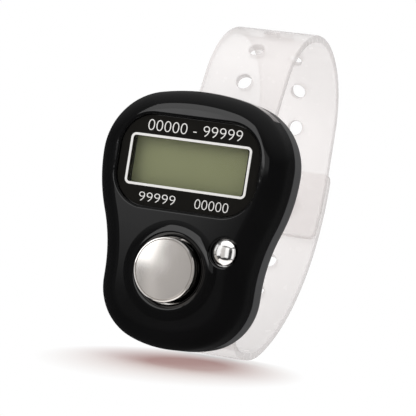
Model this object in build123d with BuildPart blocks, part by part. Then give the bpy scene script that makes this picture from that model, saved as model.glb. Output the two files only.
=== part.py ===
"""Digital tally counter worn on the finger, with two push buttons and a holed strap.

Millimetres. +Z is up, +X is to the right and the display looks along -Y. The counter stands on the
lowest point of its case and on the flat stretch of its strap, and the origin lies on that surface,
under the middle of the whole object.
"""

import os
from math import asin, atan, cos, degrees, radians, sin, sqrt

from build123d import *

os.makedirs("parts", exist_ok=True)

# Case outline, seen from the front
case_height = 38.0
upper_half_width = 14.5
lower_half_width = 11.25
crown_radius = 33.0
upper_corner_radius = 9.8
lower_flank = 1.2
lower_corner_radius = 8.4
bottom_radius = 17.0

# Case depth, counted back from the flat of the face
case_depth = 10.8
split_depth = 5.9
shoulder_radius = 3.0
back_edge_radius = 2.5
seam_edge_radius = 0.15
inner_edge_radius = 0.6
face_wall = 2.2
side_wall = 1.4
back_wall = 1.2
lip_thickness = 0.6
lip_height = 0.8
lip_clearance = 0.05
lip_end_gap = 0.1

# Face plate and window
plate_side_land = 0.05
plate_top_land = 0.9
plate_height = 13.4
plate_corner_radius = 4.9
plate_thickness = 0.4
plate_sink = 0.5
plate_clearance = 0.1
recess_lip_radius = 0.4
window_side_border = 1.875
window_height = 6.9
window_corner_radius = 0.6
lens_margin = 0.7
lens_thickness = 0.7
lens_clearance = 0.1
aperture_margin = 0.25

# Liquid crystal display
display_side_margin = 1.3
display_end_margin = 0.75
display_ledge = 1.7
film_margin = 0.55
film_thickness = 0.2
glass_thickness = 0.55
display_clearance = 0.15
rib_thickness = 0.7
rib_height = 1.2
zebra_end_gap = 1.6
zebra_width = 1.2
pad_end_gap = 2.125
pad_width = 4.8

# Circuit board
board_depth = 5.1
board_thickness = 0.8
board_clearance = 0.3
board_end_margin = 0.9
chip_radius = 3.0
chip_height = 1.1
capacitor_size = (2.0, 1.25, 0.8)
resistor_size = (1.6, 0.8, 0.5)
component_spread = 6.2

# Count button and its collar
collar_plate_gap = 1.45
collar_height = 0.5
collar_width = 1.6
count_mouth_radius = 0.8
count_cap_radius = 4.75
count_cap_top = 2.75
count_rim_height = 2.4
count_rim_radius = 0.3
count_disc_radius = 4.32
count_groove_depth = 0.1
count_flange_width = 0.85
count_flange_thickness = 0.8
count_skin = 1.0
count_boss_radius = 1.8
button_clearance = 0.2
button_rest_gap = 0.05

# Reset button and its well
reset_offset_x = 7.88
reset_offset_y = 3.72
reset_radius = 1.85
reset_wall_sink = 0.05
reset_shoulder_radius = 0.1
reset_crown_slope = 50.0
reset_mouth_radius = 0.35
reset_flange_width = 0.35
reset_flange_thickness = 0.6
reset_boss_radius = 1.0

# Rubber domes under the buttons
dome_height = 1.3
dome_wall = 0.4
count_dome_radius = 4.4
count_dome_top_radius = 2.4
reset_dome_radius = 2.3
reset_dome_top_radius = 1.3

# Button cell and its contacts
cell_radius = 5.8
cell_end_gap = 0.1
cell_cap_radius = 4.9
cell_cap_height = 0.3
cell_clearance = 0.15
cell_ring_wall = 0.8
cell_ring_board_gap = 1.1
contact_thickness = 0.2
contact_width = 3.0
contact_dimple = 0.15
contact_dimple_radius = 0.9
contact_side_gap = 0.3
contact_reach = 2.0
negative_contact_length = 7.0

# Screws
upper_screw_inset_x = 7.3
upper_screw_inset_y = 5.0
lower_screw_inset_x = 4.3
lower_screw_inset_y = 6.8
screw_radius = 0.75
screw_length = 6.0
screw_head_radius = 1.25
screw_head_height = 0.9
screw_boss_radius = 1.4
head_recess_depth = 1.2
head_clearance = 0.15
head_recess_wall = 0.6
thread_clearance = 0.03
board_screw_radius = 0.55
board_screw_length = 3.0
board_screw_head_radius = 1.1
board_screw_head_height = 0.6
board_boss_radius = 1.2
board_screw_edge = 0.5
cross_width = 0.35
cross_depth = 0.35

# Strap and the bridge that carries it
strap_width = 13.3
strap_thickness = 1.2
strap_seat_gap = 0.2
strap_side_gap = 0.25
strap_roof_gap = 0.25
bridge_top = 24.0
bridge_length = 14.0
bridge_wall = 1.3
bridge_roof = 1.2
bridge_edge_radius = 0.5
strap_exit_radius = 12.0
strap_lean = 20.0
strap_lean_run = 15.5
strap_top_radius = 13.15
strap_back_radius = 30.6
strap_bottom_radius = 12.0
strap_front_radius = 6.0
strap_flat = 2.7
strap_layer_gap = 0.2
upper_tail_length = 10.36
lower_tail_run = 0.5
tail_corner_radius = 1.0
hole_radius = 1.2
hole_pitch = 6.1
stud_from_tail = 5.4
upper_hole_count = 10
lower_row_gap = 10.17
lower_hole_count = 3

# Stud that fastens the strap
stud_clearance = 0.1
stud_head_radius = 2.1
stud_head_height = 0.8
stud_dome_radius = 4.5
stud_barb_radius = 1.7
stud_barb_height = 0.7
stud_play = 0.05

half_height = case_height / 2

# Route of the strap's middle surface, up from the bridge and over to the back, in depth and height
strap_half = strap_thickness / 2
seat_depth = case_depth + strap_seat_gap + strap_half
layer_step = strap_thickness + strap_layer_gap
lean = radians(strap_lean)
exit_radius = strap_exit_radius - strap_half
top_radius = strap_top_radius - strap_half
lean_start_depth = seat_depth + exit_radius * (1 - cos(lean))
lean_start_height = bridge_top + exit_radius * sin(lean)
top_depth = lean_start_depth + strap_lean_run * sin(lean) + top_radius * cos(lean)
top_height = lean_start_height + strap_lean_run * cos(lean) - top_radius * sin(lean)
upper_back_depth = top_depth + top_radius

# The lower tail rises behind the upper one, on a small arc off the floor and a large one up the back
front_radius = strap_front_radius - strap_half
bottom_arc_radius = strap_bottom_radius - strap_half
inner_radius = strap_back_radius - strap_half
outer_radius = inner_radius + layer_step
flat_start_depth = seat_depth + front_radius
flat_end_depth = flat_start_depth + strap_flat
back_span = upper_back_depth + layer_step - flat_end_depth
bottom_turn = asin((outer_radius - back_span) / (outer_radius - bottom_arc_radius))
back_centre_depth = upper_back_depth - inner_radius
back_centre_height = strap_half + bottom_arc_radius + (outer_radius - bottom_arc_radius) * cos(bottom_turn)
back_run = top_height - back_centre_height
upper_tail_turn = upper_tail_length / inner_radius
stud_angle = upper_tail_turn - stud_from_tail / inner_radius

# The face lies so that the origin is midway between the count button and the stud
stud_dome_reach = outer_radius + strap_half + stud_head_height - stud_dome_radius
whole_depth = back_centre_depth + stud_dome_reach * cos(stud_angle) + stud_dome_radius
face_y = -(whole_depth - count_cap_top) / 2

# Places on the face, from the middle of the case
recess_half_width = upper_half_width - shoulder_radius - plate_side_land - recess_lip_radius
plate_half_width = recess_half_width - plate_clearance
window_width = 2 * (plate_half_width - window_side_border)
recess_top = half_height - shoulder_radius - plate_top_land - recess_lip_radius
window_y = recess_top - plate_clearance - plate_height / 2
count_hole_radius = count_cap_radius + button_clearance
collar_radius = count_hole_radius + count_mouth_radius + collar_width
count_y = window_y - plate_height / 2 - collar_plate_gap - collar_radius
count_centre = (0, count_y)
reset_centre = (reset_offset_x, count_y + reset_offset_y)
reset_hole_radius = reset_radius + button_clearance

# Depths of the inner layers
lens_depth = plate_sink + plate_thickness
front_glass_depth = face_wall + film_thickness
rear_glass_depth = front_glass_depth + glass_thickness
reflector_depth = rear_glass_depth + glass_thickness
pad_depth = reflector_depth + film_thickness
board_back_depth = board_depth + board_thickness
dome_depth = board_depth - dome_height
floor_depth = case_depth - back_wall
cell_depth = board_back_depth + contact_thickness + contact_dimple
cell_back_depth = floor_depth - contact_thickness - cell_end_gap
cell_height = cell_back_depth - cell_depth
cell_ring_height = floor_depth - board_back_depth - cell_ring_board_gap

# Display sizes and screw places
display_width = window_width + 2 * display_side_margin
display_height = window_height + 2 * display_end_margin
display_bottom = window_y - display_height / 2 - display_ledge
film_width = window_width + 2 * film_margin
film_height = window_height + 2 * film_margin
zebra_length = display_width - 2 * zebra_end_gap
pad_length = film_width - 2 * pad_end_gap
head_recess_radius = screw_head_radius + head_clearance
post_radius = head_recess_radius + head_recess_wall
upper_screw_x = upper_half_width - upper_screw_inset_x
upper_screw_y = half_height - upper_screw_inset_y
lower_screw_x = lower_half_width - lower_screw_inset_x
lower_screw_y = lower_screw_inset_y - half_height
case_screw_places = [
    (upper_screw_x, upper_screw_y),
    (-upper_screw_x, upper_screw_y),
    (lower_screw_x, lower_screw_y),
    (-lower_screw_x, lower_screw_y),
]
board_screw_y = display_bottom - display_clearance - board_clearance - board_boss_radius
board_edge_x = lower_half_width - side_wall - board_clearance
board_screw_x = board_edge_x - board_screw_edge - board_screw_head_radius
board_screw_places = [(board_screw_x, board_screw_y), (-board_screw_x, board_screw_y)]


def level(depth):
    """Plane parallel to the face, this far behind it, looking out of the face."""
    return Plane(origin=(0, face_y + depth, half_height), x_dir=(1, 0, 0), z_dir=(0, -1, 0))


def lathe(centre):
    """Plane through a button's axis: local X is the radius and local Y the height above the face."""
    x, y = centre
    return Plane(origin=(x, face_y, half_height + y), x_dir=(1, 0, 0), z_dir=(0, 0, -1))


def lathe_axis(centre):
    """Axis of a button, out of the face."""
    section = lathe(centre)
    return Axis(section.origin, section.y_dir)


def case_outline(inset):
    """Pear-shaped outline of the case, drawn in by this much."""
    crown_turn = asin((upper_half_width - upper_corner_radius) / (crown_radius - upper_corner_radius))
    bottom_turn_angle = asin((lower_half_width - lower_corner_radius) / (bottom_radius - lower_corner_radius))
    upper_end = half_height - crown_radius + (crown_radius - upper_corner_radius) * cos(crown_turn)
    lower_end = bottom_radius - half_height - (bottom_radius - lower_corner_radius) * cos(bottom_turn_angle)
    waist_step = upper_half_width - lower_half_width
    waist_height = upper_end - lower_end - lower_flank
    waist_radius = (waist_height**2 + waist_step**2) / (4 * waist_step)
    waist_turn = 2 * degrees(atan(waist_step / waist_height))
    with BuildSketch() as outline:
        with BuildLine():
            crown = JernArc((0, half_height - inset), (1, 0), crown_radius - inset, -degrees(crown_turn))
            corner = JernArc(crown @ 1, crown % 1, upper_corner_radius - inset, degrees(crown_turn) - 90)
            swell = JernArc(corner @ 1, corner % 1, waist_radius - inset, -waist_turn)
            waist = JernArc(swell @ 1, swell % 1, waist_radius + inset, waist_turn)
            flank = Line(waist @ 1, waist @ 1 + (0, -lower_flank))
            heel = JernArc(flank @ 1, flank % 1, lower_corner_radius - inset, degrees(bottom_turn_angle) - 90)
            JernArc(heel @ 1, heel % 1, bottom_radius - inset, -degrees(bottom_turn_angle))
            mirror(about=Plane.YZ)
        make_face()
    return outline.sketch


# Front shell: a hollow half with a recess for the plate, a collar, a reset well and inner bosses
with BuildPart() as front_shell:
    with BuildSketch(level(split_depth)):
        add(case_outline(0))
    extrude(amount=split_depth)
    fillet(front_shell.faces().sort_by(Axis.Y)[0].edges(), shoulder_radius)
    fillet(front_shell.faces().sort_by(Axis.Y)[-1].edges(), seam_edge_radius)

    with BuildSketch(level(0)):
        with Locations((0, window_y)):
            RectangleRounded(
                2 * recess_half_width,
                plate_height + 2 * plate_clearance,
                plate_corner_radius + plate_clearance,
            )
    extrude(amount=-lens_depth, mode=Mode.SUBTRACT)
    fillet(front_shell.edges(Select.LAST).group_by(Axis.Y)[0], recess_lip_radius)

    with BuildSketch(level(split_depth)):
        add(case_outline(side_wall))
    extrude(amount=split_depth - face_wall, mode=Mode.SUBTRACT)
    fillet(front_shell.edges(Select.LAST).group_by(Axis.Y)[0], inner_edge_radius)
    with BuildSketch(level(split_depth)):
        add(case_outline(side_wall - lip_thickness - lip_clearance))
    extrude(amount=lip_height + lip_end_gap, mode=Mode.SUBTRACT)

    with BuildSketch(level(lens_depth)):
        with Locations((0, window_y)):
            Rectangle(
                window_width + 2 * lens_margin + 2 * lens_clearance,
                window_height + 2 * lens_margin + 2 * lens_clearance,
            )
    extrude(amount=-lens_thickness, mode=Mode.SUBTRACT)
    with BuildSketch(level(lens_depth)):
        with Locations((0, window_y)):
            Rectangle(window_width + 2 * aperture_margin, window_height + 2 * aperture_margin)
    extrude(amount=-face_wall, mode=Mode.SUBTRACT)

    # The collar's crest rolls into the hole on one side and down to the face on the other
    collar_turn = 2 * atan(collar_height / collar_width)
    with BuildSketch(lathe(count_centre)):
        with BuildLine():
            wall_top = collar_height - count_mouth_radius
            wall = Line((count_hole_radius, -face_wall), (count_hole_radius, wall_top))
            mouth = JernArc(wall @ 1, (0, 1), count_mouth_radius, -90)
            JernArc(mouth @ 1, (1, 0), collar_width / sin(collar_turn), -degrees(collar_turn))
            Polyline((collar_radius, 0), (collar_radius, -face_wall), wall @ 0)
        make_face()
    revolve(axis=lathe_axis(count_centre))
    with BuildSketch(level(face_wall)):
        with Locations(count_centre):
            Circle(count_hole_radius)
    extrude(amount=face_wall, mode=Mode.SUBTRACT)

    with BuildSketch(lathe(reset_centre)):
        with BuildLine():
            throat = Line((reset_hole_radius, -face_wall), (reset_hole_radius, -reset_mouth_radius))
            lip = JernArc(throat @ 1, (0, 1), reset_mouth_radius, -90)
            Polyline(lip @ 1, (lip @ 1 + (0, collar_height)), (0, collar_height), (0, -face_wall), throat @ 0)
        make_face()
    revolve(axis=lathe_axis(reset_centre), mode=Mode.SUBTRACT)

    # Inner rib that holds the display, and the bosses that take the screws
    rib_height_centre = window_y - display_ledge / 2
    with BuildSketch(level(face_wall)):
        with Locations((0, rib_height_centre)):
            rib_gap = 2 * display_clearance
            Rectangle(
                display_width + rib_gap + 2 * rib_thickness,
                display_height + display_ledge + rib_gap + 2 * rib_thickness,
            )
            Rectangle(display_width + rib_gap, display_height + display_ledge + rib_gap, mode=Mode.SUBTRACT)
    extrude(amount=-rib_height)
    with BuildSketch(level(split_depth)):
        with Locations(*case_screw_places):
            Circle(screw_boss_radius)
    extrude(amount=split_depth - face_wall)
    with BuildSketch(level(board_depth)):
        with Locations(*board_screw_places):
            Circle(board_boss_radius)
    extrude(amount=board_depth - face_wall)
    with BuildSketch(level(split_depth)):
        with Locations(*case_screw_places):
            Circle(screw_radius + thread_clearance)
    extrude(amount=screw_length + head_recess_depth - case_depth + split_depth, mode=Mode.SUBTRACT)
    with BuildSketch(level(board_depth)):
        with Locations(*board_screw_places):
            Circle(board_screw_radius + thread_clearance)
    extrude(amount=board_screw_length - board_thickness, mode=Mode.SUBTRACT)
front_shell.part.label = "front_shell"
export_step(front_shell.part, "parts/front_shell.step")

# Rear cover: a shallow tray with a lip, screw posts, a ring round the cell and the strap's bridge
with BuildPart() as rear_cover:
    with BuildSketch(level(case_depth)):
        add(case_outline(0))
    extrude(amount=case_depth - split_depth)
    fillet(rear_cover.faces().sort_by(Axis.Y)[-1].edges(), back_edge_radius)
    fillet(rear_cover.faces().sort_by(Axis.Y)[0].edges(), seam_edge_radius)
    with BuildSketch(level(floor_depth)):
        add(case_outline(side_wall))
    extrude(amount=floor_depth - split_depth, mode=Mode.SUBTRACT)
    fillet(rear_cover.edges(Select.LAST).group_by(Axis.Y)[-1], inner_edge_radius)

    with BuildSketch(level(split_depth)):
        add(case_outline(side_wall - lip_thickness))
        add(case_outline(side_wall), mode=Mode.SUBTRACT)
    extrude(amount=lip_height)

    with BuildSketch(level(floor_depth)):
        with Locations(*case_screw_places):
            Circle(post_radius)
    extrude(amount=floor_depth - split_depth)
    with BuildSketch(level(floor_depth)):
        with Locations(count_centre):
            Circle(cell_radius + cell_clearance + cell_ring_wall)
            Circle(cell_radius + cell_clearance, mode=Mode.SUBTRACT)
    extrude(amount=cell_ring_height)
    with BuildSketch(level(floor_depth)):
        with Locations((-cell_radius, count_y)):
            Rectangle(
                2 * (contact_side_gap + cell_clearance + cell_ring_wall),
                contact_width + 2 * contact_side_gap,
            )
    extrude(amount=cell_ring_height, mode=Mode.SUBTRACT)

    with BuildSketch(level(case_depth)):
        with Locations(*case_screw_places):
            Circle(screw_radius + head_clearance)
    extrude(amount=case_depth - split_depth, mode=Mode.SUBTRACT)
    with BuildSketch(level(case_depth)):
        with Locations(*case_screw_places):
            Circle(head_recess_radius)
    extrude(amount=head_recess_depth, mode=Mode.SUBTRACT)

    # Bridge over the strap, with rounded outer edges
    tunnel_width = strap_width + 2 * strap_side_gap
    tunnel_depth = strap_seat_gap + strap_thickness + strap_roof_gap
    bridge_centre = (0, bridge_top - bridge_length / 2 - half_height)
    with BuildSketch(level(case_depth)):
        with Locations(bridge_centre):
            Rectangle(tunnel_width + 2 * bridge_wall, bridge_length)
    extrude(amount=-(tunnel_depth + bridge_roof))
    fillet(rear_cover.faces().sort_by(Axis.Y)[-1].edges(), bridge_edge_radius)
    with BuildSketch(level(case_depth)):
        with Locations(bridge_centre):
            Rectangle(tunnel_width, bridge_length)
    extrude(amount=-tunnel_depth, mode=Mode.SUBTRACT)
rear_cover.part.label = "rear_cover"
export_step(rear_cover.part, "parts/rear_cover.step")

# Face plate: printed sheet with the window cut out
with BuildPart() as face_plate:
    with BuildSketch(level(lens_depth)):
        with Locations((0, window_y)):
            RectangleRounded(2 * plate_half_width, plate_height, plate_corner_radius)
            RectangleRounded(window_width, window_height, window_corner_radius, mode=Mode.SUBTRACT)
    extrude(amount=plate_thickness)
face_plate.part.label = "face_plate"
export_step(face_plate.part, "parts/face_plate.step")

# Display lens: clear pane under the plate
with BuildPart() as display_lens:
    with BuildSketch(level(lens_depth)):
        with Locations((0, window_y)):
            Rectangle(window_width + 2 * lens_margin, window_height + 2 * lens_margin)
    extrude(amount=-lens_thickness)
display_lens.part.label = "display_lens"
export_step(display_lens.part, "parts/display_lens.step")

# Display, from front to back: polariser, front glass with its contact ledge, rear glass, reflector
with BuildPart() as lcd_polariser:
    with BuildSketch(level(face_wall)):
        with Locations((0, window_y)):
            Rectangle(film_width, film_height)
    extrude(amount=-film_thickness)
lcd_polariser.part.label = "lcd_polariser"
export_step(lcd_polariser.part, "parts/lcd_polariser.step")

with BuildPart() as lcd_front_glass:
    with BuildSketch(level(front_glass_depth)):
        with Locations((0, window_y - display_ledge / 2)):
            Rectangle(display_width, display_height + display_ledge)
    extrude(amount=-glass_thickness)
lcd_front_glass.part.label = "lcd_front_glass"
export_step(lcd_front_glass.part, "parts/lcd_front_glass.step")

with BuildPart() as lcd_rear_glass:
    with BuildSketch(level(rear_glass_depth)):
        with Locations((0, window_y)):
            Rectangle(display_width, display_height)
    extrude(amount=-glass_thickness)
lcd_rear_glass.part.label = "lcd_rear_glass"
export_step(lcd_rear_glass.part, "parts/lcd_rear_glass.step")

with BuildPart() as lcd_reflector:
    with BuildSketch(level(reflector_depth)):
        with Locations((0, window_y)):
            Rectangle(film_width, film_height)
    extrude(amount=-film_thickness)
lcd_reflector.part.label = "lcd_reflector"
export_step(lcd_reflector.part, "parts/lcd_reflector.step")

# Foam pad between the display and the board
with BuildPart() as lcd_foam_pad:
    with BuildSketch(level(board_depth)):
        with Locations((0, window_y)):
            Rectangle(pad_length, pad_width)
    extrude(amount=board_depth - pad_depth)
lcd_foam_pad.part.label = "lcd_foam_pad"
export_step(lcd_foam_pad.part, "parts/lcd_foam_pad.step")

# Zebra connector from the ledge of the front glass to the board
with BuildPart() as zebra_connector:
    with BuildSketch(level(board_depth)):
        with Locations((0, display_bottom + display_ledge / 2)):
            Rectangle(zebra_length, zebra_width)
    extrude(amount=board_depth - rear_glass_depth)
zebra_connector.part.label = "zebra_connector"
export_step(zebra_connector.part, "parts/zebra_connector.step")

# Circuit board: follows the case between the screw posts, with a tongue under the count button
board_top = upper_screw_y - post_radius - board_clearance
board_waist = lower_screw_y + post_radius + board_clearance
board_bottom = count_y - count_dome_radius - board_end_margin
tongue_half_width = lower_screw_x - post_radius - board_clearance
with BuildPart() as circuit_board:
    with BuildSketch(level(board_back_depth)):
        add(case_outline(side_wall + board_clearance))
        with Locations((0, (board_top + board_waist) / 2)):
            Rectangle(2 * upper_half_width, board_top - board_waist, mode=Mode.INTERSECT)
        with Locations((0, (board_waist + board_bottom) / 2)):
            Rectangle(2 * tongue_half_width, board_waist - board_bottom)
        with Locations(*board_screw_places):
            Circle(board_screw_radius + head_clearance, mode=Mode.SUBTRACT)
    extrude(amount=board_thickness)
circuit_board.part.label = "circuit_board"
export_step(circuit_board.part, "parts/circuit_board.step")

# Resin drop over the chip, on the back of the board
chip_sphere_radius = (chip_radius**2 + chip_height**2) / (2 * chip_height)
with BuildPart() as chip_blob:
    with BuildSketch(lathe((0, window_y))):
        with BuildLine():
            top = Line((0, -board_back_depth - chip_height), (0, -board_back_depth))
            foot = Line(top @ 1, (chip_radius, -board_back_depth))
            RadiusArc(foot @ 1, top @ 0, chip_sphere_radius)
        make_face()
    revolve(axis=lathe_axis((0, window_y)))
chip_blob.part.label = "chip_blob"
export_step(chip_blob.part, "parts/chip_blob.step")

# Small parts on the back of the board: a capacitor and two resistors
component_row = display_bottom + display_ledge
with BuildPart() as board_components:
    with BuildSketch(level(board_back_depth)):
        with Locations((-component_spread, component_row)):
            Rectangle(capacitor_size[0], capacitor_size[1])
    extrude(amount=-capacitor_size[2])
    with BuildSketch(level(board_back_depth)):
        with Locations((component_spread, component_row), (component_spread, window_y)):
            Rectangle(resistor_size[0], resistor_size[1])
    extrude(amount=-resistor_size[2])
board_components.part.label = "board_components"
export_step(board_components.part, "parts/board_components.step")

# Count button: hollow cap with a polished rim, a shallow domed disc and a flange under the face
flange_top = -face_wall - button_rest_gap
boss_bottom = button_rest_gap - dome_depth
count_flange_bottom = flange_top - count_flange_thickness
count_disc_sphere = (count_disc_radius**2 + (count_cap_top - count_rim_height) ** 2) / (
    2 * (count_cap_top - count_rim_height)
)
with BuildPart() as count_button:
    with BuildSketch(lathe(count_centre)):
        with BuildLine():
            rim_start = (count_cap_radius, count_rim_height - count_rim_radius)
            inside = Polyline(
                (0, count_cap_top),
                (0, boss_bottom),
                (count_boss_radius, boss_bottom),
                (count_boss_radius, count_rim_height - count_skin),
                (count_cap_radius - count_skin, count_rim_height - count_skin),
                (count_cap_radius - count_skin, count_flange_bottom),
                (count_cap_radius + count_flange_width, count_flange_bottom),
                (count_cap_radius + count_flange_width, flange_top),
                (count_cap_radius, flange_top),
                rim_start,
            )
            rim = JernArc(rim_start, (0, 1), count_rim_radius, 90)
            groove = Polyline(
                rim @ 1,
                (count_disc_radius + count_groove_depth / 2, count_rim_height - count_groove_depth),
                (count_disc_radius, count_rim_height),
            )
            RadiusArc(groove @ 1, inside @ 0, -count_disc_sphere)
        make_face()
    revolve(axis=lathe_axis(count_centre))
count_button.part.label = "count_button"
export_step(count_button.part, "parts/count_button.step")

# Reset button: a domed cap with a rounded shoulder, and a flange under the face
with BuildPart() as reset_button:
    with BuildSketch(lathe(reset_centre)):
        with BuildLine():
            shoulder_turn = 90 - reset_crown_slope
            shoulder = JernArc((reset_radius, -reset_wall_sink), (0, 1), reset_shoulder_radius, shoulder_turn)
            reset_crown_radius = (shoulder @ 1).X / sin(radians(reset_crown_slope))
            crown = JernArc(shoulder @ 1, shoulder % 1, reset_crown_radius, reset_crown_slope)
            Polyline(
                crown @ 1,
                (0, boss_bottom),
                (reset_boss_radius, boss_bottom),
                (reset_boss_radius, flange_top - reset_flange_thickness),
                (reset_radius + reset_flange_width, flange_top - reset_flange_thickness),
                (reset_radius + reset_flange_width, flange_top),
                (reset_radius, flange_top),
                shoulder @ 0,
            )
        make_face()
    revolve(axis=lathe_axis(reset_centre))
reset_button.part.label = "reset_button"
export_step(reset_button.part, "parts/reset_button.step")


def dome_profile(base_radius, top_radius):
    """Half section of a rubber dome: a foot on the board, a sloping web and a flat top."""
    foot = -board_depth
    Polyline(
        (0, foot + dome_height),
        (top_radius, foot + dome_height),
        (base_radius - dome_wall, foot + dome_wall),
        (base_radius, foot + dome_wall),
        (base_radius, foot),
        (base_radius - 2 * dome_wall, foot),
        (top_radius - dome_wall, foot + dome_height - dome_wall),
        (0, foot + dome_height - dome_wall),
        close=True,
    )


# Rubber domes that return the buttons
with BuildPart() as count_dome:
    with BuildSketch(lathe(count_centre)):
        with BuildLine():
            dome_profile(count_dome_radius, count_dome_top_radius)
        make_face()
    revolve(axis=lathe_axis(count_centre))
count_dome.part.label = "count_dome"
export_step(count_dome.part, "parts/count_dome.step")

with BuildPart() as reset_dome:
    with BuildSketch(lathe(reset_centre)):
        with BuildLine():
            dome_profile(reset_dome_radius, reset_dome_top_radius)
        make_face()
    revolve(axis=lathe_axis(reset_centre))
reset_dome.part.label = "reset_dome"
export_step(reset_dome.part, "parts/reset_dome.step")

# Button cell: the cap looks at the board and the can at the rear cover
with BuildPart() as battery_cell:
    with BuildSketch(level(cell_back_depth)):
        with Locations(count_centre):
            Circle(cell_radius)
    extrude(amount=cell_height - cell_cap_height)
    with BuildSketch(level(cell_depth)):
        with Locations(count_centre):
            Circle(cell_cap_radius)
    extrude(amount=-cell_cap_height)
battery_cell.part.label = "battery_cell"
export_step(battery_cell.part, "parts/battery_cell.step")

# Positive contact: a strip across the can, with a leg up to the board
leg_x = -cell_radius - contact_side_gap
strip_length = contact_reach - leg_x + contact_thickness
with BuildPart() as battery_positive_contact:
    with BuildSketch(level(cell_back_depth)):
        with Locations((contact_reach - strip_length / 2, count_y)):
            Rectangle(strip_length, contact_width)
    extrude(amount=-contact_thickness)
    with BuildSketch(level(cell_back_depth)):
        with Locations((leg_x - contact_thickness / 2, count_y)):
            Rectangle(contact_thickness, contact_width)
    extrude(amount=cell_back_depth - board_back_depth)
battery_positive_contact.part.label = "battery_positive_contact"
export_step(battery_positive_contact.part, "parts/battery_positive_contact.step")

# Negative contact: a flat strip on the board with a dimple that meets the cap
with BuildPart() as battery_negative_contact:
    with BuildSketch(level(board_back_depth)):
        with Locations(count_centre):
            Rectangle(negative_contact_length, contact_width)
    extrude(amount=-contact_thickness)
    with BuildSketch(level(board_back_depth + contact_thickness)):
        with Locations(count_centre):
            Circle(contact_dimple_radius)
    extrude(amount=-contact_dimple)
battery_negative_contact.part.label = "battery_negative_contact"
export_step(battery_negative_contact.part, "parts/battery_negative_contact.step")

# Case screws: heads sunk in the rear cover, threads in the front shell's bosses
head_seat_depth = case_depth - head_recess_depth
with BuildPart() as case_screws:
    with BuildSketch(level(head_seat_depth)):
        with Locations(*case_screw_places):
            Circle(screw_head_radius)
    extrude(amount=-screw_head_height)
    with BuildSketch(level(head_seat_depth)):
        with Locations(*case_screw_places):
            Circle(screw_radius)
    extrude(amount=screw_length)
    with BuildSketch(level(head_seat_depth + screw_head_height)):
        with Locations(*case_screw_places):
            Rectangle(2 * screw_radius, cross_width)
            Rectangle(cross_width, 2 * screw_radius)
    extrude(amount=cross_depth, mode=Mode.SUBTRACT)
case_screws.part.label = "case_screws"
export_step(case_screws.part, "parts/case_screws.step")

# Board screws: heads on the back of the board, threads in the short bosses
with BuildPart() as board_screws:
    with BuildSketch(level(board_back_depth)):
        with Locations(*board_screw_places):
            Circle(board_screw_head_radius)
    extrude(amount=-board_screw_head_height)
    with BuildSketch(level(board_back_depth)):
        with Locations(*board_screw_places):
            Circle(board_screw_radius)
    extrude(amount=board_screw_length)
    with BuildSketch(level(board_back_depth + board_screw_head_height)):
        with Locations(*board_screw_places):
            Rectangle(2 * board_screw_radius, cross_width)
            Rectangle(cross_width, 2 * board_screw_radius)
    extrude(amount=cross_depth, mode=Mode.SUBTRACT)
board_screws.part.label = "board_screws"
export_step(board_screws.part, "parts/board_screws.step")

# Route of the strap as two lines from the top of the bridge: one to each tail
with BuildLine(Plane.YZ) as upper_route:
    exit_bend = JernArc((face_y + seat_depth, bridge_top), (0, 1), exit_radius, -strap_lean)
    lean_run = Line(exit_bend @ 1, exit_bend @ 1 + strap_lean_run * (exit_bend % 1))
    over = JernArc(lean_run @ 1, lean_run % 1, top_radius, strap_lean - 180)
    fall = Line(over @ 1, over @ 1 + back_run * (over % 1))
    JernArc(fall @ 1, fall % 1, inner_radius, -degrees(upper_tail_turn))
with BuildLine(Plane.YZ) as lower_route:
    drop = Line((face_y + seat_depth, bridge_top), (face_y + seat_depth, strap_half + front_radius))
    under = JernArc(drop @ 1, drop % 1, front_radius, 90)
    rest = Line(under @ 1, under @ 1 + strap_flat * (under % 1))
    rise = JernArc(rest @ 1, rest % 1, bottom_arc_radius, degrees(bottom_turn))
    climb = JernArc(rise @ 1, rise % 1, outer_radius, 90 - degrees(bottom_turn))
    Line(climb @ 1, climb @ 1 + lower_tail_run * (climb % 1))


def hole_planes(route, first_from_end, count):
    """Planes square to the strap, one hole pitch apart, counted back from the end of its route."""
    wire = route.wire()
    planes = []
    for index in range(count):
        along = wire.length - first_from_end - index * hole_pitch
        middle = wire.position_at(along, position_mode=PositionMode.LENGTH)
        heading = wire.tangent_at(along, position_mode=PositionMode.LENGTH)
        planes.append(Plane(origin=middle, x_dir=(1, 0, 0), z_dir=heading.cross(Vector(1, 0, 0))))
    return planes


# Strap: one holed band, threaded through the bridge, whose tails overlap at the back
with BuildPart() as strap:
    for route in (upper_route, lower_route):
        with BuildSketch(Plane(origin=(0, face_y + seat_depth, bridge_top), x_dir=(1, 0, 0))):
            Rectangle(strap_width, strap_thickness)
        sweep(path=route.line)
    tail_edges = strap.edges().filter_by(lambda edge: abs(edge.length - strap_thickness) < strap_layer_gap)
    fillet(tail_edges, tail_corner_radius)
    lower_stud_from_tail = lower_tail_run + outer_radius * stud_angle
    upper_holes = hole_planes(upper_route, stud_from_tail, upper_hole_count)
    lower_holes = hole_planes(lower_route, lower_stud_from_tail, 1)
    lower_holes += hole_planes(lower_route, lower_stud_from_tail + lower_row_gap, lower_hole_count)
    for plane in upper_holes + lower_holes:
        with BuildSketch(plane):
            Circle(hole_radius)
        extrude(amount=strap_half + strap_layer_gap / 2, both=True, mode=Mode.SUBTRACT)
strap.part.label = "strap"
export_step(strap.part, "parts/strap.step")

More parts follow.
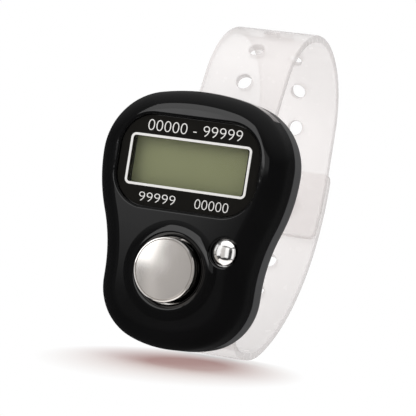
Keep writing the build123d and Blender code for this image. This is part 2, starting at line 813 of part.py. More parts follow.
# Stud: a domed head outside, a shank through both tails and a barb inside
stud_shank_radius = hole_radius - stud_clearance
barb_top = -2 * strap_thickness - strap_layer_gap - stud_play
stud_place = outer_radius + strap_half
stud_origin = (
    0,
    face_y + back_centre_depth + stud_place * cos(stud_angle),
    back_centre_height - stud_place * sin(stud_angle),
)
stud_plane = Plane(origin=stud_origin, x_dir=(1, 0, 0), z_dir=(0, sin(stud_angle), cos(stud_angle)))
dome_drop = stud_dome_radius - sqrt(stud_dome_radius**2 - stud_head_radius**2)
with BuildPart() as strap_stud:
    with BuildSketch(stud_plane):
        with BuildLine():
            shank = Polyline(
                (0, stud_head_height),
                (0, barb_top - stud_barb_height),
                (stud_shank_radius, barb_top - stud_barb_height),
                (stud_barb_radius, barb_top),
                (stud_shank_radius, barb_top),
                (stud_shank_radius, stud_play),
                (stud_head_radius, stud_play),
                (stud_head_radius, stud_head_height - dome_drop),
            )
            RadiusArc(shank @ 1, shank @ 0, -stud_dome_radius)
        make_face()
    revolve(axis=Axis(stud_plane.origin, stud_plane.y_dir))
strap_stud.part.label = "strap_stud"
export_step(strap_stud.part, "parts/strap_stud.step")
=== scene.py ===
from math import cos, hypot, pi, radians, sin

import bmesh
import bpy
from mathutils import Matrix, Vector


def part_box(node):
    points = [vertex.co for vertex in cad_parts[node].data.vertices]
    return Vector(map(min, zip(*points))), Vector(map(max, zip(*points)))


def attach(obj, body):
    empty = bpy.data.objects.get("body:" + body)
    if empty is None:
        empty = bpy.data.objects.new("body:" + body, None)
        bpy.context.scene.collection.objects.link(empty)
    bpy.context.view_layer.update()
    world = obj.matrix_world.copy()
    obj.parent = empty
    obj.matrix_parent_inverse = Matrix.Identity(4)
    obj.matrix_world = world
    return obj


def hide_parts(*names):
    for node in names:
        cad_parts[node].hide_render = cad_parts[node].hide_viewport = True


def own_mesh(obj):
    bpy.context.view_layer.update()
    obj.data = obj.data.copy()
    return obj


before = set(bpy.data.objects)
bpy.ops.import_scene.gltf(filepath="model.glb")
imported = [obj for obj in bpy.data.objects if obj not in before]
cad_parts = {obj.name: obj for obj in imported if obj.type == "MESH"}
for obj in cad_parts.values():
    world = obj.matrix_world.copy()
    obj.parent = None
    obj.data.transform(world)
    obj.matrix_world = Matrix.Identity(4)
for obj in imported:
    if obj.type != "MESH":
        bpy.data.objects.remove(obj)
scene = bpy.context.scene
scene.view_settings.view_transform = "Standard"
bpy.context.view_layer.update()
MM = 0.001

# Camera
# A long lens in front of the case, a little to its right and just above the floor, turned clockwise
# so that the counter leans to the left in the picture.
view_azimuth = radians(23.05)
view_elevation = radians(-3.1)
view_roll = radians(9.1)
view_distance = 353.5 * MM
picture_pixels = 416
focal_pixels = 2435
window_pixel = Vector((187.9, 165.3))

plate_low, plate_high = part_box("face_plate")
window_centre = Vector((0, plate_low.y, (plate_low.z + plate_high.z) / 2))
backward = Vector((
    sin(view_azimuth) * cos(view_elevation),
    -cos(view_azimuth) * cos(view_elevation),
    sin(view_elevation),
))
level_right = Vector((cos(view_azimuth), sin(view_azimuth), 0))
level_up = backward.cross(level_right)
right = level_right * cos(view_roll) + level_up * sin(view_roll)
up = level_up * cos(view_roll) - level_right * sin(view_roll)
eye = window_centre + backward * view_distance
pixel = view_distance / focal_pixels
aim = (
    window_centre
    + right * (picture_pixels / 2 - window_pixel.x) * pixel
    - up * (picture_pixels / 2 - window_pixel.y) * pixel
)
backward = (eye - aim).normalized()
right = up.cross(backward).normalized()
up = backward.cross(right)
camera_data = bpy.data.cameras.new("camera")
camera_data.sensor_width = 36
camera_data.lens = camera_data.sensor_width * focal_pixels / picture_pixels
camera = bpy.data.objects.new("camera", camera_data)
camera.matrix_world = Matrix.Translation(eye) @ Matrix((right, up, backward)).transposed().to_4x4()
scene.collection.objects.link(camera)
scene.camera = camera


# Front shell
# The front half of the case, moulded in black plastic in a polished tool, so it is glossy all over,
# with a faint ripple in its gloss.
def feed(tree, socket, value):
    """Links a node's input to another socket, or sets it to a plain value or colour."""
    if isinstance(value, bpy.types.NodeSocket):
        tree.links.new(value, socket)
    elif socket.type == "RGBA":
        socket.default_value = (*value[:3], 1)
    else:
        socket.default_value = value


def add_node(tree, kind, **inputs):
    """New node, with its input sockets fed by name."""
    made = tree.nodes.new("ShaderNode" + kind)
    for name, value in inputs.items():
        feed(tree, made.inputs[name.replace("_", " ")], value)
    return made


def vector_math(tree, operation, first, second=None):
    """Result of an operation on one or two vectors."""
    made = add_node(tree, "VectorMath")
    made.operation = operation
    feed(tree, made.inputs[0], first)
    if second is not None:
        feed(tree, made.inputs[1], second)
    return made.outputs["Value" if operation in ("LENGTH", "DOT_PRODUCT") else "Vector"]


def place_on_piece(tree, centre=(0, 0, 0), stretch=(1, 1, 1)):
    """Coordinates in metres on the piece, counted from a centre."""
    place = add_node(tree, "TexCoord").outputs["Object"]
    return vector_math(tree, "MULTIPLY", vector_math(tree, "SUBTRACT", place, centre), stretch)


def noise(tree, size, detail=3.0):
    """Noise from 0 to 1 whose patches are about this many millimetres long."""
    place = place_on_piece(tree)
    return add_node(tree, "TexNoise", Vector=place, Scale=1 / (size * MM), Detail=detail).outputs["Fac"]


def between(tree, share, low, high, start=0.3, end=0.7):
    """Number that goes from low to high as the share goes from start to end."""
    ranged = add_node(tree, "MapRange", Value=share, From_Min=start, From_Max=end, To_Min=low, To_Max=high)
    return ranged.outputs["Result"]


# The sockets of a Mix node share their names, so they go by number: first, second and result
mix_sockets = {"FLOAT": (2, 3, 0), "VECTOR": (4, 5, 1), "RGBA": (6, 7, 2)}


def mix(tree, kind, share, first, second):
    """Number, vector or colour that goes from the first to the second as the share goes from 0 to 1."""
    made = add_node(tree, "Mix")
    made.data_type = kind
    first_input, second_input, result = mix_sockets[kind]
    feed(tree, made.inputs[0], share)
    feed(tree, made.inputs[first_input], first)
    feed(tree, made.inputs[second_input], second)
    return made.outputs[result]


def surface(name, dark, light, patch, rough, grain, relief, **sockets):
    """Material that drifts between two tones over patches, with a grain in its gloss and its relief.

    The patch, the grain and the relief are in millimetres, and the gloss goes between two roughnesses."""
    material = bpy.data.materials.new(name)
    material.use_nodes = True
    tree = material.node_tree
    shader = tree.nodes["Principled BSDF"]
    drift = between(tree, noise(tree, patch), 0, 1)
    tree.links.new(mix(tree, "RGBA", drift, dark, light), shader.inputs["Base Color"])
    fine = noise(tree, grain, 2.0)
    tree.links.new(between(tree, fine, *rough), shader.inputs["Roughness"])
    bump = add_node(tree, "Bump", Height=fine, Distance=relief * MM)
    tree.links.new(bump.outputs["Normal"], shader.inputs["Normal"])
    for socket, value in sockets.items():
        shader.inputs[socket.replace("_", " ")].default_value = value
    return material


def dress(node, material):
    """Gives a piece of the frame its material."""
    for material_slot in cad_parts[node].material_slots:
        material_slot.material = material


gloss_black = surface(
    "gloss_black", dark=(0.003, 0.003, 0.0032), light=(0.0042, 0.0042, 0.0044), patch=9,
    rough=(0.04, 0.08), grain=3.5, relief=0.001,
)
dress("front_shell", gloss_black)

# Display lens
# A clear acrylic pane, laser-cut and glued into its step from the front. It is so clear that only the
# faint tint of its thickness shows over the display.
clear_acrylic = surface(
    "clear_acrylic", dark=(0.3, 0.32, 0.28), light=(0.36, 0.38, 0.34), patch=6,
    rough=(0.02, 0.06), grain=2, relief=0.0003, Alpha=0.04,
)
dress("display_lens", clear_acrylic)

# Display
# A liquid crystal cell: an olive polariser, two glasses with a contact ledge, and a silvered film behind.
# The polariser is what shows in the window, very slightly mottled.
polariser_olive = surface(
    "polariser_olive", dark=(0.224, 0.238, 0.112), light=(0.234, 0.248, 0.118), patch=5,
    rough=(0.48, 0.52), grain=3, relief=0.0002,
)
dress("lcd_polariser", polariser_olive)
display_glass = surface(
    "display_glass", dark=(0.55, 0.62, 0.5), light=(0.62, 0.7, 0.58), patch=4,
    rough=(0.03, 0.08), grain=1, relief=0.0005, Alpha=0.35,
)
dress("lcd_front_glass", display_glass)
dress("lcd_rear_glass", display_glass)
reflector_silver = surface(
    "reflector_silver", dark=(0.5, 0.52, 0.42), light=(0.62, 0.64, 0.54), patch=1.2,
    rough=(0.3, 0.45), grain=0.1, relief=0.002, Metallic=0.8,
)
dress("lcd_reflector", reflector_silver)

# Foam pad and zebra connector
# The pad is a strip of closed-cell foam with visible pores, and the connector is a rubber bar with a
# carbon stripe about every fifth of a millimetre, both squeezed between the display and the board.
black_foam = surface(
    "black_foam", dark=(0.012, 0.012, 0.012), light=(0.04, 0.04, 0.04), patch=0.18,
    rough=(0.8, 0.95), grain=0.18, relief=0.05,
)
dress("lcd_foam_pad", black_foam)

stripe_pitch = 0.18 * MM
stripe_edge = (0.4, 0.6)
stripe_black = (0.015, 0.015, 0.016)
wave_length_at_scale_1 = pi / 10
zebra_rubber = surface(
    "zebra_rubber", dark=(0.4, 0.38, 0.38), light=(0.5, 0.48, 0.47), patch=1,
    rough=(0.5, 0.6), grain=0.2, relief=0.004,
)
tree = zebra_rubber.node_tree
stripes = add_node(
    tree, "TexWave", Vector=place_on_piece(tree), Scale=wave_length_at_scale_1 / stripe_pitch
)
stripes.wave_profile = "SIN"
stripe_share = between(tree, stripes.outputs["Fac"], 0, 1, *stripe_edge)
zebra_shader = tree.nodes["Principled BSDF"]
pale_rubber = zebra_shader.inputs["Base Color"].links[0].from_socket
striped = mix(tree, "RGBA", stripe_share, pale_rubber, stripe_black)
tree.links.new(striped, zebra_shader.inputs["Base Color"])
dress("zebra_connector", zebra_rubber)

# Face plate
# A thin plastic sheet, screen-printed matt black and glued into its recess. The print is a warm black with
# a slight tooth.
plate_black = surface(
    "plate_black", dark=(0.0058, 0.005, 0.0036), light=(0.0075, 0.0065, 0.0046), patch=1.5,
    rough=(0.42, 0.55), grain=0.12, relief=0.0015,
)
dress("face_plate", plate_black)

# Printed frame and numerals
# Thick white ink on the plate: a rounded line round the window, the counting range above it, and a number
# by each button: the top of the range on the left, and nought on the right.
ink_height = 0.03 * MM
frame_width = 19.2 * MM
frame_height = 7.63 * MM
frame_line = 0.36 * MM
frame_corner = 0.8 * MM
corner_segments = 10


def finished_mesh(name, shape):
    """Mesh made from a bmesh, which is then freed."""
    made = bpy.data.meshes.new(name)
    shape.to_mesh(made)
    shape.free()
    return made


def add_piece(name, mesh, material, body):
    """Adds a finished mesh to the scene, with its material, and lets it ride on a body."""
    mesh.materials.append(material)
    piece = bpy.data.objects.new(name, mesh)
    scene.collection.objects.link(piece)
    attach(piece, body)
    return piece


print_white = surface(
    "print_white", dark=(0.74, 0.73, 0.71), light=(0.82, 0.81, 0.79), patch=0.6,
    rough=(0.4, 0.55), grain=0.08, relief=0.002,
)
on_plate = Matrix.Translation(window_centre) @ Matrix.Rotation(pi / 2, 4, "X")

bm = bmesh.new()
bmesh.ops.create_grid(bm, x_segments=1, y_segments=1, size=0.5)
bmesh.ops.scale(bm, vec=(frame_width, frame_height, 1), verts=bm.verts)
bmesh.ops.bevel(
    bm, geom=bm.verts[:], offset=frame_corner, affect="VERTICES", segments=corner_segments, profile=0.5,
    material=-1,
)
inside = bm.faces[:]
bmesh.ops.inset_region(bm, faces=inside, thickness=frame_line, use_boundary=True, use_even_offset=True)
bmesh.ops.delete(bm, geom=inside, context="FACES")
line = bmesh.ops.extrude_face_region(bm, geom=bm.faces[:] + bm.edges[:], use_keep_orig=True)
raised = [item for item in line["geom"] if isinstance(item, bmesh.types.BMVert)]
bmesh.ops.translate(bm, verts=raised, vec=(0, 0, ink_height))
bmesh.ops.recalc_face_normals(bm, faces=bm.faces)
bmesh.ops.transform(bm, matrix=on_plate, verts=bm.verts)
window_line = add_piece("window_line", finished_mesh("window_line", bm), print_white, "case")

# Each row of numerals has its left, right, bottom and top in millimetres from the middle of the window
stroke_thinning = -0.018
numeral_rows = [
    ("range_numerals", "00000 - 99999", -7.2, 7.75, 4.4, 6.0),
    ("count_numerals", "99999", -6.9, -1.1, -6.05, -4.7),
    ("nought_numerals", "00000", 2.0, 7.3, -6.1, -4.7),
]
for name, digits, left, right_end, bottom, top in numeral_rows:
    text = bpy.data.curves.new(name, "FONT")
    text.body = digits
    text.extrude = ink_height / 2
    text.offset = stroke_thinning
    lettering = bpy.data.objects.new(name + "_text", text)
    scene.collection.objects.link(lettering)
    bpy.context.view_layer.update()
    mesh = bpy.data.meshes.new_from_object(lettering.evaluated_get(bpy.context.evaluated_depsgraph_get()))
    bpy.data.objects.remove(lettering)
    low = Vector([min(v.co[axis] for v in mesh.vertices) for axis in range(3)])
    high = Vector([max(v.co[axis] for v in mesh.vertices) for axis in range(3)])
    scale_x = (right_end - left) * MM / (high.x - low.x)
    scale_y = (top - bottom) * MM / (high.y - low.y)
    to_size = Matrix.Diagonal((scale_x, scale_y, 1, 1)) @ Matrix.Translation((-low.x, -low.y, 0))
    mesh.transform(on_plate @ Matrix.Translation((left * MM, bottom * MM, ink_height / 2)) @ to_size)
    numerals = add_piece(name, mesh, print_white, "case")

# Circuit board and what is soldered on it
# A glass-fibre board under green resist, screwed to the front shell. A drop of resin seals the chip, and the
# small ceramic parts are tan.
board_green = surface(
    "board_green", dark=(0.008, 0.07, 0.025), light=(0.015, 0.11, 0.04), patch=0.9,
    rough=(0.2, 0.35), grain=0.3, relief=0.01,
)
dress("circuit_board", board_green)
black_resin = surface(
    "black_resin", dark=(0.008, 0.008, 0.009), light=(0.014, 0.014, 0.015), patch=1.5,
    rough=(0.08, 0.2), grain=0.6, relief=0.01,
)
dress("chip_blob", black_resin)
ceramic_tan = surface(
    "ceramic_tan", dark=(0.22, 0.15, 0.09), light=(0.34, 0.25, 0.16), patch=0.5,
    rough=(0.45, 0.6), grain=0.1, relief=0.004,
)
dress("board_components", ceramic_tan)

# Rubber domes
# Grey silicone domes, moulded slightly matt, that spring the buttons back.
dome_rubber = surface(
    "dome_rubber", dark=(0.3, 0.31, 0.33), light=(0.36, 0.37, 0.39), patch=1.2,
    rough=(0.55, 0.7), grain=0.15, relief=0.004,
)
for dome, press in (("count_dome", "count_press"), ("reset_dome", "reset_press")):
    dress(dome, dome_rubber)
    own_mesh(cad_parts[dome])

# Button cell and its contacts
# A nickel-plated button cell between two strips of plated spring steel, its contacts. Both metals have a
# fine, slightly dull grain.
cell_nickel = surface(
    "cell_nickel", dark=(0.5, 0.5, 0.49), light=(0.6, 0.6, 0.59), patch=2,
    rough=(0.18, 0.32), grain=0.3, relief=0.003, Metallic=1.0,
)
dress("battery_cell", cell_nickel)
contact_steel = surface(
    "contact_steel", dark=(0.5, 0.46, 0.37), light=(0.6, 0.56, 0.46), patch=1.5,
    rough=(0.25, 0.4), grain=0.25, relief=0.003, Metallic=1.0,
)
dress("battery_positive_contact", contact_steel)
dress("battery_negative_contact", contact_steel)

# Screws
# Zinc-plated steel screws, two through the board and four through the rear cover, all driven into the front
# shell. The plating is a little dull.
screw_zinc = surface(
    "screw_zinc", dark=(0.35, 0.35, 0.36), light=(0.5, 0.5, 0.52), patch=0.5,
    rough=(0.25, 0.42), grain=0.15, relief=0.006, Metallic=1.0,
)
dress("case_screws", screw_zinc)
dress("board_screws", screw_zinc)

# Count button
# A moulded cap, plated: a satin silver disc inside a polished rim, with a fine groove between them. The disc
# is a shallow dome, and its shading follows the true dome.
disc_radius = 4.32 * MM
disc_rise = 0.35 * MM
groove_width = 0.07 * MM
rim_rough = 0.05
button_low, button_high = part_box("count_button")
button_centre = (button_low + button_high) / 2
dome_radius = (disc_radius**2 + disc_rise**2) / (2 * disc_rise)
dome_centre = Vector((button_centre.x, button_low.y + dome_radius, button_centre.z))
satin_silver = surface(
    "satin_silver", dark=(0.69, 0.665, 0.64), light=(0.72, 0.695, 0.67), patch=2.5,
    rough=(0.2, 0.24), grain=0.05, relief=0.00002, Metallic=1.0,
)
tree = satin_silver.node_tree
silver_shader = tree.nodes["Principled BSDF"]
from_axis = vector_math(tree, "LENGTH", place_on_piece(tree, button_centre, (1, 0, 1)))
outside_disc = between(tree, from_axis, 0, 1, disc_radius - groove_width, disc_radius + groove_width)
satin_rough = silver_shader.inputs["Roughness"].links[0].from_socket
tree.links.new(mix(tree, "FLOAT", outside_disc, satin_rough, rim_rough), silver_shader.inputs["Roughness"])
off_dome = vector_math(tree, "NORMALIZE", place_on_piece(tree, dome_centre))
off_face = add_node(tree, "NewGeometry").outputs["Normal"]
silver_bump = silver_shader.inputs["Normal"].links[0].from_node
tree.links.new(mix(tree, "VECTOR", outside_disc, off_dome, off_face), silver_bump.inputs["Normal"])
dress("count_button", satin_silver)

# Reset button
# A small cap with a round crown, chrome plated and slightly dulled by fingertips. A flange under the face
# keeps it in its hole.
bright_chrome = surface(
    "bright_chrome", dark=(0.8, 0.79, 0.78), light=(0.86, 0.85, 0.84), patch=1.5,
    rough=(0.13, 0.17), grain=0.6, relief=0.0002, Metallic=1.0,
)
dress("reset_button", bright_chrome)

# Rear cover
# The rear half of the case, moulded in the same black plastic with a finely spark-eroded satin skin, and
# the bridge on its back that the strap runs through.
satin_black = surface(
    "satin_black", dark=(0.014, 0.014, 0.0155), light=(0.02, 0.02, 0.022), patch=5,
    rough=(0.34, 0.46), grain=0.09, relief=0.003,
)
dress("rear_cover", satin_black)

# Strap
# A band of soft, milky clear plastic with rounded edges and rows of punched holes. It runs down through
# the bridge, round under the case and up the back, where its lower tail lies behind its upper one.
strap_width = 13.3
strap_thickness = 1.2
strap_edge_radius = 0.22
strap_edge_segments = 2
strap_edge_angle = radians(40)
smooth_levels = 1
bridge_top = 24.0
bridge_roof = 1.2
roof_gap = 0.25
tail_corner_radius = 1.0
hole_radius = 1.2
hole_pitch = 6.1
upper_stud_from_tail = 5.4
lower_stud_from_tail = 5.6915
lower_row_gap = 10.17
upper_hole_count = 10
lower_hole_count = 3
columns = 24
row_step = 0.6
hole_half_rows = 2
easing_rows = 2

# Stretches of the strap's middle line from the top of the bridge: length and turn, first up, then down
lean = radians(20)
exit_radius = 11.4
rise_length = 15.5
top_radius = 12.55
drop_length = 7.742
upper_tail = 10.36
upper_tail_radius = 30.0
front_radius = 5.4
under_length = 2.7
bottom_radius = 11.4
bottom_turn = radians(22.8551)
back_radius = 31.4
lower_tail_end = 0.5
upper_stretches = [
    (exit_radius * lean, -lean),
    (rise_length, 0),
    (top_radius * (pi - lean), lean - pi),
    (drop_length, 0),
    (upper_tail, -upper_tail / upper_tail_radius),
]
lower_stretches = [
    (bridge_top - strap_thickness / 2 - front_radius, 0),
    (front_radius * pi / 2, pi / 2),
    (under_length, 0),
    (bottom_radius * bottom_turn, bottom_turn),
    (back_radius * (pi / 2 - bottom_turn), pi / 2 - bottom_turn),
    (lower_tail_end, 0),
]
upper_length = sum(length for length, turn in upper_stretches)
lower_length = sum(length for length, turn in lower_stretches)
cover_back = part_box("rear_cover")[1].y / MM
strap_start = Vector((cover_back - bridge_roof - roof_gap - strap_thickness / 2, bridge_top))


def strap_place(along):
    """Point on the strap's middle line, in depth and height, this far below the top of the bridge."""
    place = strap_start.copy()
    heading = -pi / 2 if along > 0 else pi / 2
    left_over = abs(along)
    for length, turn in lower_stretches if along > 0 else upper_stretches:
        step = min(length, left_over)
        swing = turn * step / length
        if turn:
            radius = length / turn
            place.x += radius * (sin(heading + swing) - sin(heading))
            place.y += radius * (cos(heading) - cos(heading + swing))
        else:
            place += step * Vector((cos(heading), sin(heading)))
        heading += swing
        left_over -= step
    return place


# Rows of cells across the band: a few at each hole, and even ones between the holes
upper_stud_place = upper_stud_from_tail - upper_length
lower_stud_place = lower_length - lower_stud_from_tail
hole_places = [upper_stud_place + index * hole_pitch for index in range(upper_hole_count)]
hole_places += [
    lower_stud_place - lower_row_gap - index * hole_pitch for index in reversed(range(lower_hole_count))
]
hole_places.append(lower_stud_place)
rows = [-upper_length]
hole_rows = []
for hole in hole_places + [lower_length + hole_radius]:
    gap_start = rows[-1]
    gap = hole - hole_radius - gap_start
    count = max(1, round(gap / row_step))
    rows += [gap_start + gap * (index + 1) / count for index in range(count)]
    if hole < lower_length:
        hole_rows.append(len(rows) - 1 + hole_half_rows)
        span = 2 * hole_half_rows
        rows += [hole + hole_radius * (2 * (index + 1) / span - 1) for index in range(span)]

bm = bmesh.new()
bmesh.ops.create_grid(bm, x_segments=columns, y_segments=len(rows) - 1, size=0.5)
cells = {}
for vert in bm.verts:
    column = round((vert.co.x + 0.5) * columns)
    row = round((vert.co.y + 0.5) * (len(rows) - 1))
    cells[vert] = (column - columns // 2, row)
    vert.co = ((column / columns - 0.5) * strap_width, rows[row], 0)

# Holes: each block of cells is cut out, and the cells round it ease from a square into a circle
cut = []
for hole, hole_row in zip(hole_places, hole_rows):
    for face in bm.faces:
        corners = [cells[vert] for vert in face.verts]
        if all(max(abs(column), abs(row - hole_row)) <= hole_half_rows for column, row in corners):
            cut.append(face)
    for vert in bm.verts:
        across, along = cells[vert][0], cells[vert][1] - hole_row
        ring = max(abs(across), abs(along))
        if hole_half_rows <= ring < hole_half_rows + easing_rows:
            spoke = Vector((across, along, 0)).normalized() * hole_radius * ring / hole_half_rows
            hold = (ring - hole_half_rows) / easing_rows
            vert.co = (Vector((0, hole, 0)) + spoke).lerp(vert.co, hold)
bmesh.ops.delete(bm, geom=cut, context="FACES")

# Tails: the square corners are drawn in to round ones
for vert in bm.verts:
    side = abs(vert.co.x) - strap_width / 2 + tail_corner_radius
    end = max(-upper_length - vert.co.y, vert.co.y - lower_length) + tail_corner_radius
    if side > 0 and end > 0:
        drawn_in = max(side, end) / hypot(side, end)
        vert.co.x -= side * (1 - drawn_in) * (1 if vert.co.x > 0 else -1)
        vert.co.y -= end * (1 - drawn_in) * (1 if vert.co.y > 0 else -1)

# The flat band is bent along its route
for vert in bm.verts:
    depth, height = strap_place(vert.co.y)
    vert.co = Vector((vert.co.x, depth, height)) * MM
for face in bm.faces:
    face.smooth = True
mesh = finished_mesh("strap_band", bm)

clear_strap = surface(
    "clear_strap", dark=(0.97, 0.93, 0.92), light=(0.99, 0.95, 0.94), patch=7,
    rough=(0.18, 0.28), grain=1.6, relief=0.001, Alpha=0.44,
)
# The rims, the band's cut edges and hole walls, are darker and less see-through than its faces: painted
# shade for the dark lines that light bending through a clear edge gives
strap_rim_painted_shade = surface(
    "strap_rim_painted_shade", dark=(0.76, 0.72, 0.71), light=(0.82, 0.78, 0.77), patch=3,
    rough=(0.2, 0.3), grain=0.8, relief=0.001, Alpha=0.65,
)
mesh.materials.append(clear_strap)
strap_band = add_piece("strap_band", mesh, strap_rim_painted_shade, "case")
thickness = strap_band.modifiers.new("thickness", "SOLIDIFY")
thickness.thickness = strap_thickness * MM
thickness.offset = 0
thickness.material_offset_rim = 1
edges = strap_band.modifiers.new("edges", "BEVEL")
edges.width = strap_edge_radius * MM
edges.segments = strap_edge_segments
edges.limit_method = "ANGLE"
edges.angle_limit = strap_edge_angle
smooth = strap_band.modifiers.new("smooth", "SUBSURF")
smooth.levels = smooth_levels
smooth.render_levels = smooth_levels
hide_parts("strap")

# Strap stud
# A push-in stud of the same clear plastic, with a domed head outside and a barb inside the loop. It fastens
# the two tails of the strap through their holes.
dress("strap_stud", clear_strap)

# Floor and light
# A plain pale floor in a white room. A soft lamp behind throws the shadow forward, and a painted fade round
# a long patch on the floor gives that shadow its outline and soft end; white panels give the streaks on the
# gloss, and a dark cloth tent, seen only in reflections, keeps the black plastic black.
floor_size = 6.0
floor_colour = (0.46, 0.305, 0.29)
shadow_centre = (0.0257, -0.0706, 0)
shadow_half_width = 0.0138
shadow_half_length = 0.088
shadow_core = 0.3
shadow_turn = radians(17.5)

bm = bmesh.new()
bmesh.ops.create_grid(bm, x_segments=1, y_segments=1, size=floor_size / 2)
mesh = finished_mesh("floor", bm)

# The floor is even, so its two tones are the same. It takes the lamp's light and the real shadow in a long
# patch in front of the counter, and glows white round it; towards the patch's edge the paper fades into the
# glow, which is a painted shadow edge, not light
floor_pale = surface(
    "floor_pale", dark=floor_colour, light=floor_colour, patch=60,
    rough=(0.8, 0.9), grain=2, relief=0.005, Specular_IOR_Level=0.0, Emission_Color=(1, 1, 1, 1),
)
tree = floor_pale.node_tree
floor_shader = tree.nodes["Principled BSDF"]
patch = add_node(
    tree, "Mapping", Vector=place_on_piece(tree, shadow_centre), Rotation=(0, 0, shadow_turn),
    Scale=(shadow_half_width, shadow_half_length, 1),
)
patch.vector_type = "TEXTURE"
# Painted shadow fade: from the patch's core outward the lit paper gives way to white glow, so the cast
# shadow's outline and soft end are painted
painted_shadow_fade = between(tree, vector_math(tree, "LENGTH", patch.outputs[0]), 0, 1, shadow_core, 1)
paper = floor_shader.inputs["Base Color"].links[0].from_socket
tree.links.new(mix(tree, "RGBA", painted_shadow_fade, paper, (0, 0, 0)), floor_shader.inputs["Base Color"])
tree.links.new(painted_shadow_fade, floor_shader.inputs["Emission Strength"])
mesh.materials.append(floor_pale)
floor = bpy.data.objects.new("floor", mesh)
floor.visible_glossy = False
scene.collection.objects.link(floor)


def direction(azimuth, elevation):
    """Unit vector from the counter, with azimuth 0 in front of its face and 90 on its right."""
    flat = cos(radians(elevation))
    return Vector((sin(radians(azimuth)) * flat, -cos(radians(azimuth)) * flat, sin(radians(elevation))))


# The tent is pale overhead and nearly black round the sides, with a soft glow where its cloth hangs open
# on the left in front. Each glow has its direction, its spread in degrees and its strength
tent_radius = 0.8
tent_segments = 48
tent_dark = 0.035
tent_roof = 0.3
roof_start = radians(15)
tent_glows = [((-24, 4.5), 4, 0.7), ((-23.5, 6), 24, 0.05)]

bm = bmesh.new()
bmesh.ops.create_uvsphere(bm, u_segments=tent_segments, v_segments=tent_segments // 2, radius=tent_radius)
mesh = finished_mesh("tent", bm)
tent_cloth = bpy.data.materials.new("tent_cloth")
tent_cloth.use_nodes = True
tree = tent_cloth.node_tree
tree.nodes.remove(tree.nodes["Principled BSDF"])
outward = vector_math(tree, "NORMALIZE", place_on_piece(tree))
height = add_node(tree, "SeparateXYZ", Vector=outward).outputs["Z"]
brightness = between(tree, height, tent_dark, tent_roof, sin(roof_start), 1)
for towards, spread, strength in tent_glows:
    facing = vector_math(tree, "DOT_PRODUCT", outward, direction(*towards))
    added = add_node(tree, "Math", Value=brightness)
    tree.links.new(between(tree, facing, 0, strength, cos(radians(spread)), 1), added.inputs[1])
    brightness = added.outputs[0]
glow = add_node(tree, "Emission", Strength=brightness)
tree.links.new(glow.outputs[0], tree.nodes["Material Output"].inputs["Surface"])
mesh.materials.append(tent_cloth)
tent = bpy.data.objects.new("tent", mesh)
scene.collection.objects.link(tent)
tent.visible_camera = False
tent.visible_diffuse = False
tent.visible_transmission = False
tent.visible_shadow = False
tent.visible_volume_scatter = False

lamp_distance = 0.6
plain_white = (1, 1, 1)
warm_white = (1, 0.965, 0.94)
pale_cyan = (0.56, 1, 1)


def add_lamp(name, towards, size, radiance, colour, only_on=None, lights_matt=False):
    """Rectangular lamp that looks at the counter, whose face is this bright, for all pieces or one.

    It shows in reflections alone, or lights matt surfaces alone."""
    lamp_data = bpy.data.lights.new(name, "AREA")
    lamp_data.shape = "RECTANGLE"
    lamp_data.size, lamp_data.size_y = size
    lamp_data.energy = radiance * pi * size[0] * size[1]
    lamp_data.color = colour
    lamp = bpy.data.objects.new(name, lamp_data)
    place = window_centre + lamp_distance * direction(*towards)
    turned = direction(*towards).to_track_quat("Z", "Y").to_matrix().to_4x4()
    lamp.matrix_world = Matrix.Translation(place) @ turned
    lamp.visible_camera = False
    lamp.visible_transmission = False
    lamp.visible_glossy = not lights_matt
    lamp.visible_diffuse = lights_matt
    scene.collection.objects.link(lamp)
    if only_on is not None:
        receivers = bpy.data.collections.new(name + "_receivers")
        receivers.objects.link(only_on)
        lamp.light_linking.receiver_collection = receivers


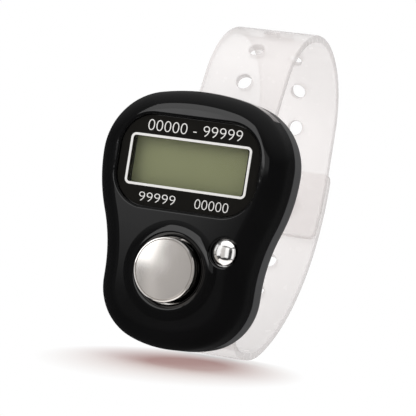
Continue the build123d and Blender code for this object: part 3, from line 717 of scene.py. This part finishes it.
# Lamps and panels: azimuth and elevation in degrees, width and height in metres, brightness and colour
add_lamp("key_lamp", (-40, 25), (0.35, 0.35), 3.3, plain_white, lights_matt=True)
add_lamp("floor_lamp", (200, 18), (0.2, 0.2), 230, pale_cyan, floor, lights_matt=True)
reflected_panels = {
    "front_shell": [
        ("upper_panel", (-16.5, 19), (0.333, 0.32), 1.5, plain_white),
        ("side_panel", (5, 8.5), (0.4, 0.12), 0.45, plain_white),
    ],
    "rear_cover": [
        ("rear_panel", (155, 3), (0.9, 0.9), 0.42, plain_white),
    ],
    "count_button": [
        ("button_key", (-57.5, 23.5), (0.625, 0.473), 2.2, plain_white),
        ("button_front", (5, -5), (1.6, 1.3), 0.45, warm_white),
        ("button_left", (-78, -20), (0.8, 0.6), 0.7, plain_white),
        ("button_low", (-50, -20), (0.5, 0.42), 0.25, warm_white),
        ("button_right", (77, 0), (0.39, 1.2), 0.6, warm_white),
        ("button_back", (138, 0), (0.61, 1.0), 1.3, plain_white),
        ("button_floor", (15, -75), (0.9, 0.9), 1.2, warm_white),
        ("button_top", (-10, 72), (0.8, 0.8), 0.35, plain_white),
    ],
    "reset_button": [
        ("reset_far_left", (-80, 0), (0.25, 0.8), 0.8, plain_white),
        ("reset_left", (-45, 9), (0.34, 0.74), 1.1, plain_white),
        ("reset_grey", (-13, 2), (0.34, 0.92), 0.6, warm_white),
        ("reset_middle", (17, 3), (0.29, 0.88), 1.1, plain_white),
        ("reset_right", (61, 0), (0.15, 0.8), 1.2, plain_white),
        ("reset_far_right", (86, 0), (0.17, 0.9), 1.0, plain_white),
        ("reset_top", (0, 70), (1.2, 0.44), 1.3, plain_white),
        ("reset_floor", (10, -74), (1.2, 0.46), 1.3, warm_white),
    ],
}
for node, panels in reflected_panels.items():
    for panel in panels:
        add_lamp(*panel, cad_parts[node])

# The room is white where the camera, a reflection or a see-through piece shows it. Its light on matt
# surfaces is dimmer
room_strength = 1.0
fill_strength = 0.76
world = bpy.data.worlds.new("studio")
scene.world = world
world.use_nodes = True
tree = world.node_tree
white_room = tree.nodes["Background"]
white_room.inputs["Color"].default_value = (*plain_white, 1)
white_room.inputs["Strength"].default_value = room_strength
fill = add_node(tree, "Background", Color=plain_white, Strength=fill_strength)
rays = add_node(tree, "LightPath")
seen = rays.outputs["Is Camera Ray"]
for kind in ("Is Glossy Ray", "Is Transmission Ray"):
    either = add_node(tree, "Math", Value=seen)
    either.operation = "MAXIMUM"
    tree.links.new(rays.outputs[kind], either.inputs[1])
    seen = either.outputs[0]
room = add_node(tree, "MixShader", Fac=seen)
tree.links.new(fill.outputs[0], room.inputs[1])
tree.links.new(white_room.outputs[0], room.inputs[2])
tree.links.new(room.outputs[0], tree.nodes["World Output"].inputs["Surface"])
